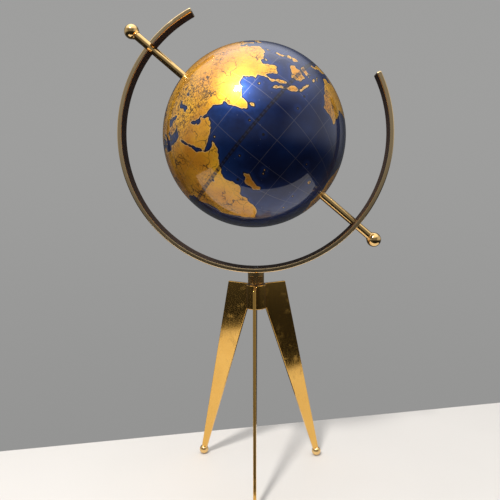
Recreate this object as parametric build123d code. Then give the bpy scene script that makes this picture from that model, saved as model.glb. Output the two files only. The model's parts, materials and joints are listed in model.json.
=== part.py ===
"""Desktop globe on a tripod stand: a 150 mm globe that spins on a slanted rod, held by an
open C-shaped ring that swivels on a three-legged brass stand.

Frame: millimetres, +Z up, origin on the table under the stand's axis. The ring lies in the
XZ plane, the front leg points along -Y and the globe's centre is on the Z axis.
"""
from build123d import *
from math import asin, cos, degrees, pi, radians, sin, sqrt
import os

# ---- Globe -------------------------------------------------------------------------------
globe_radius = 75.0            # over the printed skin
skin_thickness = 0.3           # printed and lacquered map skin
shell_wall = 2.2               # moulded hemisphere
seam_ring_height = 14.0        # band glued inside the equator
seam_ring_wall = 1.8
glue_gap = 0.05                # glue line between the seam ring and the shells
pole_boss_radius = 10.0        # flat seat moulded inside each pole
pole_boss_depth = 5.0          # seat's distance inside the shell's outer surface

# ---- Slanted rod, its bushes and finials -------------------------------------------------
axis_tilt = 49.0               # degrees from vertical, top end towards -X
rod_radius = 3.25
finial_radius = 6.0
finial_distance = 131.5        # ball centre to globe centre
rod_stub_radius = 2.0          # threaded end of the rod
rod_stub_length = 5.0
bush_wall = 1.15
bush_flange_radius = 8.5
bush_flange_thickness = 1.5
bush_recess = 0.7              # bush mouth's depth under the globe's surface
clip_thickness = 1.0           # snap-on retaining clips that hold the globe along the rod
clip_radius = 6.0
clip_groove_radius = 2.6
clip_mouth = 4.4               # gap in the clip, for snapping it on

# ---- C-shaped ring -----------------------------------------------------------------------
ring_inner_radius = 109.2
ring_thickness = 3.8
ring_width = 16.0
ring_edge_round = 0.9
ring_left_end = -26.0          # degrees from straight up, positive towards +X
ring_right_end = 64.0

# ---- Neck, swivel and hub ----------------------------------------------------------------
collar_radius = 6.9
collar_height = 10.0           # from the swivel washer to the underside of the ring
collar_band_height = 3.4       # smooth band above the knurling
collar_rim_height = 1.0        # smooth rim below it
knurl_count = 30
knurl_depth = 0.35
spigot_radius = 4.5
swivel_washer_thickness = 0.9
swivel_washer_radius = 6.4
hub_radius = 8.8
hub_height = 21.0
hub_edge = 0.5
hub_top = 171.3                # height of the hub's top face above the table
counterbore_radius = 6.0
counterbore_depth = 5.2
keeper_washer_radius = 5.6
keeper_washer_thickness = 1.2

# ---- Screws ------------------------------------------------------------------------------
screw_radius = 2.0             # both screws are M4
screw_socket_across = 2.5      # hexagon across its flats
ring_screw_length = 12.0
ring_screw_head_radius = 3.75
ring_screw_head_height = 2.1
ring_screw_socket_depth = 1.4
keeper_screw_grip = 9.0        # shank below the head's seat
keeper_screw_head_radius = 3.5
keeper_screw_head_height = 2.4
keeper_screw_socket_depth = 1.4

# ---- Legs and feet -----------------------------------------------------------------------
leg_thickness = 2.5
leg_top_reach = 28.3           # stand axis to the leg's outer top corner
leg_slot_depth = 1.4           # how far the leg is let into the hub
leg_edge = 0.25
leg_tip_width = 4.8
foot_circle_radius = 61.8      # stand axis to each foot ball's centre
foot_radius = 4.25
foot_flat_radius = 1.75        # small flat that rests on the table

# ---- Clearances --------------------------------------------------------------------------
running_clearance = 0.05       # radial, rod in bush and spigot in hub
clip_play = 0.2                # along the rod, clip to bush
clip_side_clearance = 0.05     # clip in its groove
swivel_play = 0.1              # keeper washer to hub
thread_clearance = 0.03        # radial, screw or stub in its tapped hole
hole_clearance = 0.2           # radial, screw through a plain hole

# ---- Places that follow from the sizes above ---------------------------------------------
shell_radius = globe_radius - skin_thickness
shell_inner_radius = shell_radius - shell_wall
ring_outer_radius = ring_inner_radius + ring_thickness
bush_bore_radius = rod_radius + running_clearance
bush_radius = bush_bore_radius + bush_wall
boss_face = shell_radius - pole_boss_depth
bush_inner_face = boss_face - bush_flange_thickness
clip_outer_face = bush_inner_face - clip_play
finial_seat = finial_distance - sqrt(finial_radius**2 - rod_radius**2)
hub_bottom = hub_top - hub_height
collar_bottom = hub_top + swivel_washer_thickness
ring_bottom = collar_bottom + collar_height
globe_centre_z = ring_bottom + ring_outer_radius
ring_floor_z = globe_centre_z - ring_inner_radius
hub_ledge = hub_bottom + counterbore_depth
spigot_end = hub_ledge - swivel_play
foot_centre_z = sqrt(foot_radius**2 - foot_flat_radius**2)

axis_frame = Location((0, 0, globe_centre_z), (0, -axis_tilt, 0))   # its Z runs up the rod
legs = {"front": -90.0, "right": 30.0, "left": 150.0}               # degrees about +Z


def drum(radius, low, high):
    """A cylinder about Z from one height to another."""
    return Pos(0, 0, low) * Cylinder(
        radius, high - low, align=(Align.CENTER, Align.CENTER, Align.MIN))


def hexagon_socket(low, high):
    """A hexagonal key socket about Z."""
    profile = RegularPolygon(screw_socket_across / 2, 6, major_radius=False)
    return Pos(0, 0, low) * extrude(profile, high - low)


def half_space(low, high):
    """A block that is larger than the globe, from one height to another along the rod."""
    return drum(globe_radius * 2, low, high)


def on_axis(shape):
    """Moves a piece that was drawn about Z onto the slanted rod."""
    return axis_frame * shape


def mirrored(shape, north):
    """Turns a piece drawn for the north end over for the south end."""
    return shape if north else Rot(180, 0, 0) * shape


# ---- Globe pieces ------------------------------------------------------------------------
def map_skin(north):
    """Printed skin of one hemisphere, with a hole for the bush at its pole."""
    skin = Sphere(globe_radius) - Sphere(shell_radius)
    skin &= half_space(0, globe_radius)
    skin -= drum(bush_radius, 0, globe_radius)
    return on_axis(mirrored(skin, north))


def globe_shell(north):
    """Moulded hemisphere with a flat seat for the bush inside its pole."""
    boss = drum(pole_boss_radius, boss_face, shell_radius) & Sphere(shell_radius)
    shell = Sphere(shell_radius) - Sphere(shell_inner_radius)
    shell &= half_space(0, globe_radius)
    shell += boss
    shell -= drum(bush_radius, 0, globe_radius)
    return on_axis(mirrored(shell, north))


def seam_ring():
    """Band glued inside the equator, where the two hemispheres meet."""
    ball = Sphere(shell_inner_radius - glue_gap)
    band = ball & half_space(-seam_ring_height / 2, seam_ring_height / 2)
    inside = shell_inner_radius - glue_gap - seam_ring_wall
    band -= drum(inside, -seam_ring_height, seam_ring_height)
    return on_axis(band)


def pole_bush(north):
    """Flanged plastic bush that runs on the rod at one pole."""
    mouth = globe_radius - bush_recess
    bush = drum(bush_flange_radius, bush_inner_face, boss_face)
    bush += drum(bush_radius, boss_face, mouth)
    bush -= drum(bush_bore_radius, 0, globe_radius)
    return on_axis(mirrored(bush, north))


# ---- Rod and what is on it ---------------------------------------------------------------
def axis_rod():
    """Straight rod with a threaded stub at each end and two clip grooves."""
    stub_end = finial_seat + rod_stub_length
    rod = drum(rod_radius, -finial_seat, finial_seat)
    rod += drum(rod_stub_radius, -stub_end, stub_end)
    groove_high = clip_outer_face + clip_side_clearance
    groove_low = clip_outer_face - clip_thickness - clip_side_clearance
    groove = drum(rod_radius * 2, groove_low, groove_high)
    groove -= drum(clip_groove_radius, groove_low, groove_high)
    rod -= groove
    rod -= mirrored(groove, False)
    return on_axis(rod)


def finial(north):
    """Ball screwed onto the end of the rod, with a flat where it seats."""
    ball = Pos(0, 0, finial_distance) * Sphere(finial_radius)
    ball -= drum(finial_radius * 2, finial_seat - finial_radius, finial_seat)
    tapped = rod_stub_radius + thread_clearance
    ball -= drum(tapped, finial_seat, finial_seat + rod_stub_length + thread_clearance)
    return on_axis(mirrored(ball, north))


def retaining_clip(north):
    """Snap-on clip in the rod's groove, just inside the bush."""
    low = clip_outer_face - clip_thickness
    inner = clip_groove_radius + thread_clearance
    clip = drum(clip_radius, low, clip_outer_face) - drum(inner, low, clip_outer_face)
    clip -= Pos(0, -clip_radius, low + clip_thickness / 2) * Box(
        clip_mouth, clip_radius * 2, clip_thickness)
    return on_axis(mirrored(clip, north))


# ---- Ring --------------------------------------------------------------------------------
def ring_point(radius, angle):
    """Point on the ring's plane, at an angle in degrees from straight up."""
    return (radius * sin(radians(angle)), radius * cos(radians(angle)))


def meridian_ring():
    """C-shaped strip: a hole for the rod low on the right, an open notch high on the left."""
    middle = (ring_left_end + ring_right_end) / 2 + 180
    ends = (ring_left_end + 360, ring_right_end)
    outer = ThreePointArc(ring_point(ring_outer_radius, ends[0]),
                          ring_point(ring_outer_radius, middle),
                          ring_point(ring_outer_radius, ends[1]))
    inner = ThreePointArc(ring_point(ring_inner_radius, ends[1]),
                          ring_point(ring_inner_radius, middle),
                          ring_point(ring_inner_radius, ends[0]))
    outline = Curve() + [outer, Line(outer @ 1, inner @ 0), inner, Line(inner @ 1, outer @ 0)]
    flat = Plane.XZ.offset(-ring_width / 2) * make_face(outline)
    strip = Pos(0, 0, globe_centre_z) * extrude(flat, ring_width, dir=(0, -1, 0))
    strip = fillet(strip.edges(), ring_edge_round)

    reach = ring_outer_radius + ring_thickness
    strip -= on_axis(drum(rod_radius, -reach, -ring_inner_radius / 2))
    strip -= on_axis(drum(rod_radius, ring_inner_radius / 2, reach))
    notch_middle = (ring_inner_radius + ring_outer_radius) / 2
    notch = Pos(0, -ring_width / 2, notch_middle) * Box(
        rod_radius * 2, ring_width, ring_thickness * 4)
    strip -= on_axis(notch)

    strip -= drum(screw_radius + hole_clearance, ring_bottom - 1, ring_floor_z)
    strip -= ring_screw_head(ring_thickness)
    return strip


def ring_screw_head(above):
    """Countersunk head, flush with the ring's inner face, and the space above it."""
    low = ring_floor_z - ring_screw_head_height
    cone = Pos(0, 0, low) * Cone(
        screw_radius, ring_screw_head_radius, ring_screw_head_height,
        align=(Align.CENTER, Align.CENTER, Align.MIN))
    if above:
        cone += drum(ring_screw_head_radius, ring_floor_z, ring_floor_z + above)
    return cone


def ring_screw():
    """Countersunk screw from inside the ring into the neck collar."""
    screw = ring_screw_head(0)
    screw += drum(screw_radius, ring_floor_z - ring_screw_length,
                  ring_floor_z - ring_screw_head_height)
    screw -= hexagon_socket(ring_floor_z - ring_screw_socket_depth, ring_floor_z)
    return screw


# ---- Neck and swivel ---------------------------------------------------------------------
def neck_collar():
    """Knurled collar with a spigot that turns in the hub, saddled to fit the ring."""
    collar = drum(collar_radius, collar_bottom, ring_bottom + ring_thickness / 2)
    collar = fillet(collar.edges().group_by(Axis.Z)[0], hub_edge)
    knurl_low = collar_bottom + collar_rim_height
    knurl_high = ring_bottom - collar_band_height
    groove_radius = pi * collar_radius / knurl_count / 2
    groove = Pos(collar_radius + groove_radius - knurl_depth, 0, 0) * drum(
        groove_radius, knurl_low, knurl_high)
    collar -= [Rot(0, 0, i * 360 / knurl_count) * groove for i in range(knurl_count)]
    collar += drum(spigot_radius, spigot_end, collar_bottom)
    collar -= Pos(0, 0, globe_centre_z) * Rot(90, 0, 0) * Cylinder(
        ring_outer_radius, ring_width * 2)
    tapped = screw_radius + thread_clearance
    ring_hole_bottom = ring_floor_z - ring_screw_length - tapped
    collar -= drum(tapped, ring_hole_bottom, ring_bottom + ring_thickness)
    collar -= drum(tapped, spigot_end, keeper_seat + keeper_screw_grip + tapped)
    return collar


def swivel_washer():
    """Thin plastic washer that the collar turns on."""
    washer = drum(swivel_washer_radius, hub_top, collar_bottom)
    return washer - drum(spigot_radius + running_clearance, hub_top, collar_bottom)


keeper_seat = spigot_end - keeper_washer_thickness


def keeper_washer():
    """Washer under the spigot that keeps the swivel together."""
    washer = drum(keeper_washer_radius, keeper_seat, spigot_end)
    return washer - drum(screw_radius + hole_clearance, keeper_seat, spigot_end)


def keeper_screw():
    """Screw up into the spigot from inside the hub's counterbore."""
    head_low = keeper_seat - keeper_screw_head_height
    head = drum(keeper_screw_head_radius, head_low, keeper_seat)
    head = fillet(head.edges().group_by(Axis.Z)[0], hub_edge)
    screw = head + drum(screw_radius, keeper_seat, keeper_seat + keeper_screw_grip)
    return screw - hexagon_socket(head_low, head_low + keeper_screw_socket_depth)


# ---- Stand -------------------------------------------------------------------------------
def hub():
    """Turned hub with a bore, a counterbore below and a slot for each leg."""
    body = chamfer(drum(hub_radius, hub_bottom, hub_top).edges(), hub_edge)
    body -= drum(spigot_radius + running_clearance, hub_ledge, hub_top)
    body -= drum(counterbore_radius, hub_bottom, hub_ledge)
    slot = Pos(hub_radius, 0, (hub_bottom + hub_top) / 2) * Box(
        leg_slot_depth * 2, leg_thickness, hub_height)
    body -= [Rot(0, 0, angle) * slot for angle in legs.values()]
    return body


def leg(angle):
    """Flat tapered plate, let into the hub and running down to the foot ball."""
    inner = hub_radius - leg_slot_depth
    tip = foot_circle_radius - leg_tip_width / 2
    outline = Polyline((inner, hub_top), (leg_top_reach, hub_top),
                       (tip + leg_tip_width, foot_centre_z), (tip, foot_centre_z),
                       (hub_radius, hub_bottom), (inner, hub_bottom), close=True)
    face = Plane.XZ.offset(-leg_thickness / 2) * make_face(outline)
    plate = extrude(face, leg_thickness, dir=(0, -1, 0))
    broad = plate.faces().sort_by(Axis.Y)
    edges = broad[0].edges() + broad[-1].edges()
    outside = [e for e in edges if e.center().X > hub_radius and e.center().Z > foot_radius]
    return Rot(0, 0, angle) * chamfer(outside, leg_edge)


def foot(angle):
    """Ball foot on the end of a leg, with a small flat on the table."""
    ball = Pos(foot_circle_radius, 0, foot_centre_z) * Sphere(foot_radius)
    ball -= Pos(foot_circle_radius, 0, 0) * drum(foot_radius, -foot_radius, 0)
    return Rot(0, 0, angle) * ball - leg(angle)


nodes = {
    "hub": hub(),
    "swivel_washer": swivel_washer(),
    "neck_collar": neck_collar(),
    "meridian_ring": meridian_ring(),
    "ring_screw": ring_screw(),
    "keeper_washer": keeper_washer(),
    "keeper_screw": keeper_screw(),
    "axis_rod": axis_rod(),
    "seam_ring": seam_ring(),
}
for side, angle in legs.items():
    nodes["leg_" + side] = leg(angle)
    nodes["foot_" + side] = foot(angle)
for pole, north in (("north", True), ("south", False)):
    nodes["map_skin_" + pole] = map_skin(north)
    nodes["globe_shell_" + pole] = globe_shell(north)
    nodes["pole_bush_" + pole] = pole_bush(north)
    nodes["retaining_clip_" + pole] = retaining_clip(north)
    nodes["finial_" + pole] = finial(north)

os.makedirs("parts", exist_ok=True)
for name, shape in nodes.items():
    export_step(shape, os.path.join("parts", name + ".step"))
print(len(nodes), "nodes, globe centre at z =", round(globe_centre_z, 2))
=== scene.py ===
# %% [markdown]
# # A desktop globe on a tripod stand
# This file dresses a finished mechanical model. The model already has every part at its
# real size and in its real place, so nothing here moves or resizes it. Each step below
# first says what a piece or a finish is on the real object, then makes it.

# %% Load the mechanical model
import json
import math
import bmesh
import bpy
import numpy as np
from mathutils import Euler, Matrix, Vector, kdtree


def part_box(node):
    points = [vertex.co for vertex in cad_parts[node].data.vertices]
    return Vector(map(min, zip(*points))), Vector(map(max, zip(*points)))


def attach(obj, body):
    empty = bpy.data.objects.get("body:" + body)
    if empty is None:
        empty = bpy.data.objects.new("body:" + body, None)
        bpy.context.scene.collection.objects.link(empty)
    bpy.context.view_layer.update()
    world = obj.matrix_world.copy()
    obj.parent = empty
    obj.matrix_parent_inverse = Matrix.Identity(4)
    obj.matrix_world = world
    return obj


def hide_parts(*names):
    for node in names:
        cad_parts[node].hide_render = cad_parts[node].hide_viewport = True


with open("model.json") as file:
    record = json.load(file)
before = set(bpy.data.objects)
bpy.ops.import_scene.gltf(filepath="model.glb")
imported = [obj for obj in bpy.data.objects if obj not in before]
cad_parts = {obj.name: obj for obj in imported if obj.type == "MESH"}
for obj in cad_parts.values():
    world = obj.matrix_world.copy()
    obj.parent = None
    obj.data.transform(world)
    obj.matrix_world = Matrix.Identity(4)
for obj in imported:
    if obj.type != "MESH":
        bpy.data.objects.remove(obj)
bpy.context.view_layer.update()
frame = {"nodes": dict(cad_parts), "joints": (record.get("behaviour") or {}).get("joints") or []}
nodes = frame["nodes"]
mm = 0.001

# %% [markdown]
# The globe's own axis is needed again and again: its map, its spin and the rod all follow
# it. The model states it as the joint that the globe turns on, so it is read from there.
# Radii are read from the model's own vertices, by their distance from an axis.

# %% Find the axes and the main sizes
spin = next(joint for joint in frame["joints"] if joint["name"] == "globe_spin")
pole = Vector(spin["axis"]).normalized()
centre = Vector(spin["pos_m"])
across = Vector((0, 1, 0))             # the ring is bent round this direction
upright = Vector((0, 0, 1))
axis_turn = upright.rotation_difference(pole)


def span_about(node, origin, direction):
    """(lowest, highest) along an axis and (nearest, farthest) from it, of a node's vertices."""
    points = np.array([v.co - origin for v in nodes[node].data.vertices])
    heights = points @ np.array(direction)
    reach = np.linalg.norm(points - np.outer(heights, direction), axis=1)
    return heights.min(), heights.max(), reach.min(), reach.max()


globe_radius = span_about("map_skin_north", centre, pole)[1]
hole_radius = span_about("map_skin_north", centre, pole)[2]
rod_radius = span_about("axis_rod", centre, pole)[3]
_, ring_half_width, ring_inner, ring_outer = span_about("meridian_ring", centre, across)
print("radii in mm: globe %.1f, pole hole %.2f, rod %.2f, ring %.1f to %.1f" % tuple(
    value / mm for value in (globe_radius, hole_radius, rod_radius, ring_inner, ring_outer)))

# %% [markdown]
# Every new piece, lamp and camera has to be an object in the scene's collection before it
# shows. That is the same line each time, so it is a helper.

# %% A helper that adds an object
def add_object(name, data):
    """A new object in the scene, at the origin."""
    item = bpy.data.objects.new(name, data)
    bpy.context.scene.collection.objects.link(item)
    return item


# %% [markdown]
# The camera stands a little to the right of the globe and just under its centre's height,
# close by, as a person at the table holds one. A close camera spreads the three feet
# apart, so the distance matters more than the zoom.

# %% Camera
camera_place = Vector((0.0241, -0.4724, 0.2672))
camera_turn = math.radians(-3.5)       # about the vertical, positive towards +X
camera_dip = math.radians(8.0)         # below the horizontal
camera_roll = math.radians(-0.8)
camera_lens = 40.4                     # millimetres, on a sensor 36 mm wide


def make_camera():
    """A camera set by its place and three plain angles."""
    data = bpy.data.cameras.new("camera")
    data.lens = camera_lens
    data.clip_start = 0.01
    camera = add_object("camera", data)
    ahead = Vector((math.sin(camera_turn) * math.cos(camera_dip),
                    math.cos(camera_turn) * math.cos(camera_dip),
                    -math.sin(camera_dip)))
    level = ahead.to_track_quat("-Z", "Y").to_matrix()
    camera.rotation_mode = "QUATERNION"
    camera.rotation_quaternion = (level @ Matrix.Rotation(camera_roll, 3, "Z")).to_quaternion()
    camera.location = camera_place
    bpy.context.scene.camera = camera


make_camera()
print("camera is", round((camera_place - centre).length, 3), "m from the globe's centre")

# %% [markdown]
# A finish on metal, paper or plastic is never one flat colour. Each one below is wired from
# the same few parts: a place in space, a noise or a line pattern, a blend between two
# colours, and a very small bump. The `Finish` class keeps that wiring short, so that each
# finish reads as a recipe. Numbers that are the same all over go straight onto the
# shader's sockets.

# %% A helper that wires a finish
class Finish:
    """One procedural finish, wired node by node."""

    def __init__(self, name, **fixed):
        self.material = bpy.data.materials.new(name)
        self.material.use_nodes = True
        self.tree = self.material.node_tree
        self.shader = self.tree.nodes["Principled BSDF"]
        self.place = self.add("ShaderNodeTexCoord").outputs["Object"]
        for label, value in fixed.items():
            self.shader.inputs[label.replace("_", " ")].default_value = value

    def add(self, kind, *values, **settings):
        """A node, its settings, and what goes into its sockets in order."""
        node = self.tree.nodes.new(kind)
        for label, value in settings.items():
            setattr(node, label, value)
        for socket, value in zip(node.inputs, values):
            self.feed(socket, value)
        return node

    def feed(self, socket, value):
        """Joins a socket to another one, or sets its number."""
        if isinstance(value, bpy.types.NodeSocket):
            self.tree.links.new(value, socket)
        elif value is not None:
            socket.default_value = value

    def math(self, operation, *values):
        return self.add("ShaderNodeMath", *values, operation=operation).outputs[0]

    def vector(self, operation, *values):
        node = self.add("ShaderNodeVectorMath", *values, operation=operation)
        return node.outputs["Value" if operation in ("DOT_PRODUCT", "LENGTH") else "Vector"]

    def noise(self, where, scale, detail=2.0, rough=0.5):
        """A cloudy value from about 0.2 to 0.8."""
        node = self.add("ShaderNodeTexNoise")
        for label, value in (("Vector", where), ("Scale", scale),
                             ("Detail", detail), ("Roughness", rough)):
            self.feed(node.inputs[label], value)
        return node.outputs[0]

    def cells(self, where, scale, feature="F1", output="Distance"):
        """Voronoi cells: how far it is to the cell's middle, or to its edge."""
        node = self.add("ShaderNodeTexVoronoi", feature=feature)
        self.feed(node.inputs["Vector"], where)
        self.feed(node.inputs["Scale"], scale)
        return node.outputs[output]

    def fade(self, value, low, high, start=0.0, end=1.0):
        """Goes smoothly from start to end as value goes from low to high."""
        node = self.add("ShaderNodeMapRange", interpolation_type="SMOOTHSTEP")
        for socket, number in zip(node.inputs, (value, low, high, start, end)):
            self.feed(socket, number)
        return node.outputs[0]

    def stretch(self, scale, turn=(0, 0, 0), about=(0, 0, 0)):
        """The place in space, turned and stretched."""
        shifted = self.vector("SUBTRACT", self.place, tuple(about))
        turned = self.add("ShaderNodeMapping", shifted, (0, 0, 0), turn, (1, 1, 1))
        return self.vector("MULTIPLY", turned.outputs[0], scale)

    def mix(self, amount, first, second):
        """A colour between two others."""
        node = self.add("ShaderNodeMix", data_type="RGBA")
        for index, value in ((0, amount), (6, first), (7, second)):
            self.feed(node.inputs[index], value)
        return node.outputs[2]

    def set(self, label, value):
        self.feed(self.shader.inputs[label], value)

    def bump(self, height, depth, strength=1.0, label="Normal"):
        """Raises the surface by up to depth, in metres, where height is 1."""
        node = self.add("ShaderNodeBump")
        for name, value in (("Height", height), ("Distance", depth), ("Strength", strength)):
            self.feed(node.inputs[name], value)
        self.set(label, node.outputs[0])


def dress(piece, *finishes):
    """Gives a piece its finishes, first one first."""
    piece.data.materials.clear()
    for finish in finishes:
        piece.data.materials.append(finish.material)


# %% [markdown]
# Brass under clear lacquer is warm and bright, with a faint cloudiness, hair-fine lines left
# by the last polish, and a few soft handling marks where it is a little duller. The lines
# run along the piece, so each piece says how its place in space is stretched: far along
# the lines, and hardly at all across them. The legs are brushed, so their lines are deeper.

# %% Brass finishes
def brass(name, lines, light, deep, dullness, line_depth):
    """Brass with polishing lines, clouds and handling marks."""
    finish = Finish(name, Metallic=1.0, Coat_Weight=0.35, Coat_Roughness=0.05)
    hairlines = finish.noise(lines(finish), 1.0, 3.0, 0.6)
    clouds = finish.noise(finish.place, 55.0, 3.0)
    marks = finish.fade(finish.noise(finish.place, 130.0, 2.0), 0.56, 0.70)
    body = finish.mix(clouds, light, deep)
    finish.set("Base Color", finish.mix(finish.math("MULTIPLY", hairlines, 0.45), body, deep))
    polish = finish.math("ADD", finish.fade(hairlines, 0.3, 0.7, -0.4, 0.4), marks)
    finish.set("Roughness", finish.fade(polish, -0.5, 1.4, dullness * 0.7, dullness * 1.7))
    finish.bump(hairlines, line_depth, 0.5)
    return finish


rod_turn = (axis_turn.inverted().to_euler())
pale_gold, deep_gold = (0.92, 0.66, 0.30, 1), (0.80, 0.50, 0.18, 1)
satin_gold, satin_deep = (0.90, 0.55, 0.14, 1), (0.78, 0.43, 0.09, 1)


def along_rod(finish):
    return finish.stretch((2600.0, 2600.0, 40.0), rod_turn, centre)


def round_upright(finish):
    return finish.stretch((90.0, 90.0, 5200.0))


def down_leg(finish):
    return finish.stretch((2400.0, 2400.0, 26.0))


rod_brass = brass("polished rod brass", along_rod, pale_gold, deep_gold, 0.13, 0.0002 * mm)
turned_brass = brass("polished turned brass", round_upright, pale_gold, deep_gold,
                     0.11, 0.0002 * mm)
satin_brass = brass("satin brushed brass", down_leg, satin_gold, satin_deep, 0.13, 0.0003 * mm)
print("brass finishes:", rod_brass.material.name, turned_brass.material.name,
      satin_brass.material.name)

# %% [markdown]
# The ring is the same polished brass outside and on its two edges. Its polishing lines run
# round it, so they are looked up by direction from the ring's centre, which leaves no seam.
# Its inner face gets a soft, slightly uneven dark brown coat that mirrors very little. That
# colour is painted shade: it stands in for the darkness on the inside of the ring.

# %% Ring finishes
def round_ring(finish):
    """Far along the ring, close together across it."""
    arm = finish.vector("MULTIPLY",
                        finish.vector("SUBTRACT", finish.place, tuple(centre)), (1, 0, 1))
    radius = finish.vector("LENGTH", arm)
    heading = finish.vector("MULTIPLY", finish.vector("NORMALIZE", arm), (9, 0, 9))
    lanes = finish.add("ShaderNodeCombineXYZ", None,
                       finish.math("MULTIPLY", radius, 2400.0), None).outputs[0]
    side = finish.vector("MULTIPLY", finish.place, (0, 2400, 0))
    return finish.vector("ADD", heading, finish.vector("ADD", side, lanes))


def painted_shade_coat():
    """Painted shade for the ring's inner face: dark brown, a little uneven."""
    finish = Finish("inner face painted shade", Specular_IOR_Level=0.12)
    clouds = finish.noise(finish.place, 90.0, 4.0)
    brushed = finish.noise(round_ring(finish), 1.0, 3.0)
    # the two dark browns are painted shade for the ring's inner face
    finish.set("Base Color", finish.mix(finish.math("MULTIPLY", clouds, brushed),
                                        (0.052, 0.034, 0.027, 1), (0.022, 0.013, 0.010, 1)))
    finish.set("Roughness", finish.fade(clouds, 0.3, 0.7, 0.55, 0.72))
    finish.bump(brushed, 0.001 * mm, 0.5)
    return finish


ring_gold, ring_deep = (0.95, 0.75, 0.45, 1), (0.87, 0.61, 0.31, 1)
ring_brass = brass("polished ring brass", round_ring, ring_gold, ring_deep,
                   0.15, 0.00006 * mm)
# the ring's inner face: dark brown painted shade
inner_painted_shade = painted_shade_coat()
print("ring finishes:", ring_brass.material.name, "and", inner_painted_shade.material.name)

# %% [markdown]
# The small parts are plain engineering finishes: black nylon where something turns, spring
# steel for the clips and screws, and the pale moulded plastic of the hidden shells. Nylon is
# faintly grainy, and steel has fine lines and a blue-grey cast.

# %% Finishes of the small parts
def plain_plastic(name, light, deep, dullness, grain):
    """Moulded plastic with a fine grain and slow changes of tone."""
    finish = Finish(name)
    specks = finish.noise(finish.place, grain, 2.0)
    tone = finish.noise(finish.place, grain / 20, 2.0)
    finish.set("Base Color", finish.mix(finish.math("MULTIPLY", specks, tone), light, deep))
    finish.set("Roughness", finish.fade(specks, 0.3, 0.7, dullness - 0.06, dullness + 0.08))
    finish.bump(specks, 0.01 * mm, 0.5)
    return finish


def drawn_steel():
    """Spring steel with fine lines."""
    finish = Finish("drawn steel", Metallic=1.0)
    lines = finish.noise(finish.stretch((300.0, 300.0, 6000.0)), 1.0, 3.0)
    finish.set("Base Color", finish.mix(lines, (0.62, 0.63, 0.66, 1), (0.36, 0.37, 0.40, 1)))
    finish.set("Roughness", finish.fade(lines, 0.3, 0.7, 0.22, 0.38))
    finish.bump(lines, 0.002 * mm, 0.5)
    return finish


black_nylon = plain_plastic("black nylon", (0.030, 0.030, 0.032, 1), (0.012, 0.012, 0.013, 1),
                            0.46, 1600.0)
shell_plastic = plain_plastic("moulded shell plastic", (0.80, 0.78, 0.72, 1),
                              (0.62, 0.60, 0.54, 1), 0.5, 700.0)
steel = drawn_steel()
plain_parts = {
    "swivel_washer": black_nylon, "pole_bush_north": black_nylon,
    "pole_bush_south": black_nylon, "globe_shell_north": shell_plastic,
    "globe_shell_south": shell_plastic, "seam_ring": shell_plastic,
    "retaining_clip_north": steel, "retaining_clip_south": steel,
    "keeper_washer": steel, "keeper_screw": steel, "ring_screw": steel,
    "axis_rod": rod_brass,
}
for name, finish in plain_parts.items():
    dress(nodes[name], finish)
print(len(plain_parts), "model parts keep their shape and get a finish")

# %% [markdown]
# ## The map
# The globe's skin is a printed sheet, cut in gores, glued on and lacquered. To draw it, the
# sphere needs to know at every point how far it is from the nearest coast, and on which
# side. The coasts are drawn here as a school atlas shows them, with only as many
# points as each shape needs: pairs of degrees, east and then north. The old world is one
# outline, from Gibraltar round Africa, Asia and Europe. Inland seas are outlines of their
# own: a point is on land if it lies inside an odd number of outlines.

# %% Coasts of the old world
mediterranean_north = [
    (-5.6, 36.0), (-2.2, 36.8), (-0.5, 38.3), (0, 40), (3.2, 42), (4.5, 43.4), (7.5, 43.8),
    (9, 44.4), (10.3, 43.3), (12.2, 41.7), (15.2, 40), (16.1, 38.6), (15.7, 37.9), (17.1, 39),
    (16.9, 40.4), (18.4, 39.9), (17, 41.1), (15.9, 41.9), (13.7, 43.5), (12.4, 45.2),
    (13.7, 45.6), (14.5, 45), (16.5, 43.5), (19, 42), (19.4, 40.8), (20.7, 38.8), (21.5, 36.9),
    (23, 36.5), (23.2, 37.9), (24, 38), (22.9, 40.3), (24, 40.5), (26, 40.8), (26.7, 40.4),
    (26.2, 39.5), (26.4, 38.3), (27.4, 36.8), (29, 36.6), (30.6, 36.7), (32.5, 36.1),
    (34.5, 36.7), (36, 36.7), (35.8, 35), (34.9, 32.7), (34.2, 31.3), (32.3, 31.2)]
africa = [
    (29, 30.9), (25, 31.6), (21.5, 32.9), (20, 31), (15, 32.3), (11, 34), (10, 37.3),
    (3, 36.8), (-2, 35.1), (-5.9, 35.8), (-6.8, 34.1), (-9.3, 32.5), (-9.8, 30), (-11.5, 28.3),
    (-14.4, 26.2), (-16, 23.7), (-17, 21), (-16.2, 19.5), (-16.3, 16.5), (-17.5, 14.7),
    (-16.8, 12.5), (-15, 11), (-13.3, 9), (-11.5, 6.9), (-7.6, 4.4), (-4.5, 5.2), (-2, 4.8),
    (1, 5.9), (4.3, 6.3), (6, 4.3), (9.6, 3.8), (9.5, 1), (9.5, -2.5), (12.2, -5.8),
    (13.3, -8.8), (13.6, -12), (11.8, -15.8), (12.5, -18.5), (14.5, -23), (16.3, -28.5),
    (18.2, -31.5), (18.3, -34), (20, -34.8), (22, -34.1), (26.5, -33.8), (30, -31),
    (32.4, -28.5), (32.7, -26), (35.5, -23.5), (34.8, -19.8), (38, -17.2), (40.6, -15),
    (40.6, -11), (39.5, -9), (38.9, -7), (39.3, -4.7), (41, -2), (44, 1), (48, 4.5),
    (50.8, 9.5), (51.2, 11.9), (45, 10.5), (43.3, 11.5), (42.8, 12.6), (39.7, 15.2),
    (38.5, 18), (37.2, 21), (35.5, 24), (34, 27), (32.6, 29.9)]
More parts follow.
